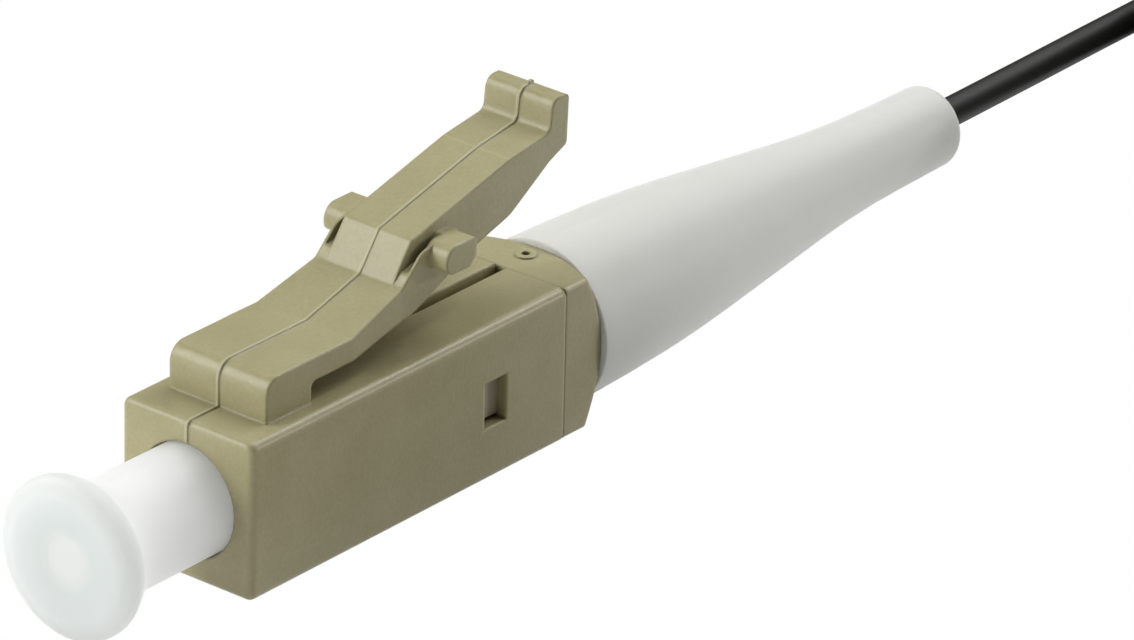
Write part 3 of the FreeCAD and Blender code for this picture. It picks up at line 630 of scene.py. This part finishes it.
skin_mesh = bmesh.new()
rings = []
for number in range(HINGE_RINGS):
    share = number / (HINGE_RINGS - 1)
    along = hinge.y - HINGE_AHEAD + (HINGE_AHEAD + HINGE_BEHIND) * share
    grow = SKIN * (END_SHARE + (1 - END_SHARE) * math.sin(math.pi * share))
    rings.append([skin_mesh.verts.new((x, along, hinge.z + z)) for x, z in arm_section(grow)])
for ring, following in zip(rings, rings[1:]):
    for corner in range(len(ring)):
        after = (corner + 1) % len(ring)
        skin_mesh.faces.new((ring[corner], ring[after], following[after], following[corner]))
bmesh.ops.recalc_face_normals(skin_mesh, faces=skin_mesh.faces)
hinge_data = bpy.data.meshes.new("hinge_skin")
skin_mesh.to_mesh(hinge_data)
skin_mesh.free()
hinge_data.materials.append(beige)
hinge_skin = bpy.data.objects.new("hinge_skin", hinge_data)
bpy.context.scene.collection.objects.link(hinge_skin)
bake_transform(hinge_skin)
print("hinge skin:", len(hinge_data.polygons), "faces")

# %% [markdown]
# ## Floor
# The plug lies on a plain pale floor.  One large square does for that: it is wide enough for its edge
# never to come near, and a hundredth of a millimetre lower than the boot, so that the two don't touch.

# %% Floor
FLOOR_HALF, FLOOR_GAP = 1.2, 0.01 * MM
floor_mesh = bpy.data.meshes.new("floor")
floor_mesh.from_pydata([(-FLOOR_HALF, -FLOOR_HALF, 0), (FLOOR_HALF, -FLOOR_HALF, 0),
                        (FLOOR_HALF, FLOOR_HALF, 0), (-FLOOR_HALF, FLOOR_HALF, 0)], [], [(0, 1, 2, 3)])
floor = bpy.data.objects.new("floor", floor_mesh)
floor.location.z = boot_low.z - FLOOR_GAP
bpy.context.scene.collection.objects.link(floor)
print("floor: %.1f m wide" % (2 * FLOOR_HALF))

# %% [markdown]
# ### Paper
# White light that bounces off the floor would flatten the housing's right side.  Product studios lay a
# dark card beside a face that should stay darker, and here that is a soft dark patch in the paper.  A
# round gradient on stretched coordinates makes it.

# %% Paper
PAPER_TONE, CARD_TONE = 0.8, 0.25
CARD_PLACE, CARD_SIZE = (0.018, -0.005, 0), (0.02, 0.016, 1)
CARD_FADE = 0.4  # of the way in from the card's edge, where its full tone begins

paper, paper_shader = shader("paper")
# The paper also glows faintly: a painted light that fills the plug from below.
set_values(paper_shader, {"Roughness": 0.9, "Emission_Color": (1, 1, 1, 1), "Emission_Strength": 0.12})
tree = paper.node_tree
floor_place = tree.nodes.new("ShaderNodeTexCoord")
card_place = tree.nodes.new("ShaderNodeMapping")
card_place.vector_type = "TEXTURE"
set_values(card_place, {"Location": CARD_PLACE, "Scale": CARD_SIZE})
card = tree.nodes.new("ShaderNodeTexGradient")
card.gradient_type = "SPHERICAL"
feed(tree, card_place.inputs["Vector"], floor_place.outputs["Object"])
feed(tree, card.inputs["Vector"], card_place.outputs["Vector"])
paper_tone = ramp(tree, card.outputs["Fac"], 0, CARD_FADE, start=PAPER_TONE, end=CARD_TONE)
feed(tree, paper_shader.inputs["Base Color"], paper_tone)
floor_mesh.materials.append(paper)
print("paper %.2f, card %.2f" % (PAPER_TONE, CARD_TONE))

# %% [markdown]
# ### A white surround
# The camera sees the floor as plain white, as in a catalogue, and so do shiny surfaces and glass, while
# other light meets the paper.  The Light Path node tells these rays apart.  Only the camera misses the
# card: in reflections and through glass the white darkens over the card as the paper does.

# %% A white surround
rays = tree.nodes.new("ShaderNodeLightPath")
shown = math_node(tree, "MAXIMUM", rays.outputs["Is Camera Ray"], rays.outputs["Is Transmission Ray"])
shown = math_node(tree, "MAXIMUM", shown, rays.outputs["Is Glossy Ray"])
reflected = math_node(tree, "MULTIPLY", paper_tone, 1 / PAPER_TONE)
white = tree.nodes.new("ShaderNodeEmission")
feed(tree, white.inputs["Strength"],
     math_node(tree, "MAXIMUM", rays.outputs["Is Camera Ray"], reflected))


def choose_shader(tree, factor, first, second, out):
    """Send the first shader to the output where the factor is 0, and the second where it is 1."""
    node = tree.nodes.new("ShaderNodeMixShader")
    for socket, value in zip(node.inputs, (factor, first, second)):
        feed(tree, socket, value)
    feed(tree, tree.nodes[out].inputs["Surface"], node.outputs["Shader"])


choose_shader(tree, shown, paper_shader.outputs["BSDF"], white.outputs["Emission"], "Material Output")
print("the floor shows as white")

# %% [markdown]
# ## Lights
# A small satin object shows its lights as soft patches, so they are large and near, like the soft boxes
# over a product table.  A broad one hangs over the back, a smaller one stands at the front left, and a
# low one fills the front.  Two small ones behind, one of them to the right, draw bright lines along the
# edges.

# %% Lights
LAMP_DISTANCE = 0.5


def softbox(name, azimuth, elevation, width, height, watts):
    """A rectangular light that looks at the plug from this direction; azimuth 0 is the plug's front."""
    data = bpy.data.lights.new(name, "AREA")
    data.shape = "RECTANGLE"
    data.size = width
    data.size_y = height
    data.energy = watts
    away = direction(azimuth, elevation)
    lamp = bpy.data.objects.new(name, data)
    lamp.location = place(0, 14, 0) + away * LAMP_DISTANCE
    lamp.rotation_euler = away.to_track_quat("Z", "Y").to_euler()
    bpy.context.scene.collection.objects.link(lamp)
    print("%s: %.2f W" % (name, watts))


softbox("overhead", 180, 56, width=0.6, height=0.5, watts=1.95)
softbox("key", -52, 32, width=0.35, height=0.3, watts=1.7)
softbox("front_fill", -15, 6, width=0.4, height=0.15, watts=0.55)
softbox("high_strip", 172, 45, width=0.025, height=0.025, watts=0.22)
softbox("low_strip", 137, 16, width=0.025, height=0.025, watts=0.3)

# %% [markdown]
# ### World
# The world adds a faint even light from all sides.  To the camera it is white, like the floor, so that
# no horizon shows when the plug is looked at from low down.

# %% World
WORLD_LIGHT = 0.07
world = bpy.data.worlds.new("world")
world.use_nodes = True
sky = world.node_tree
faint_sky = sky.nodes["Background"]
set_values(faint_sky, {"Color": (1, 1, 1, 1), "Strength": WORLD_LIGHT})
white_sky = sky.nodes.new("ShaderNodeBackground")
set_values(white_sky, {"Color": (1, 1, 1, 1)})
rays = sky.nodes.new("ShaderNodeLightPath")
choose_shader(sky, rays.outputs["Is Camera Ray"], faint_sky.outputs["Background"],
              white_sky.outputs["Background"], "World Output")
bpy.context.scene.world = world
bpy.context.scene.view_settings.view_transform = "Standard"
print("world light:", WORLD_LIGHT)
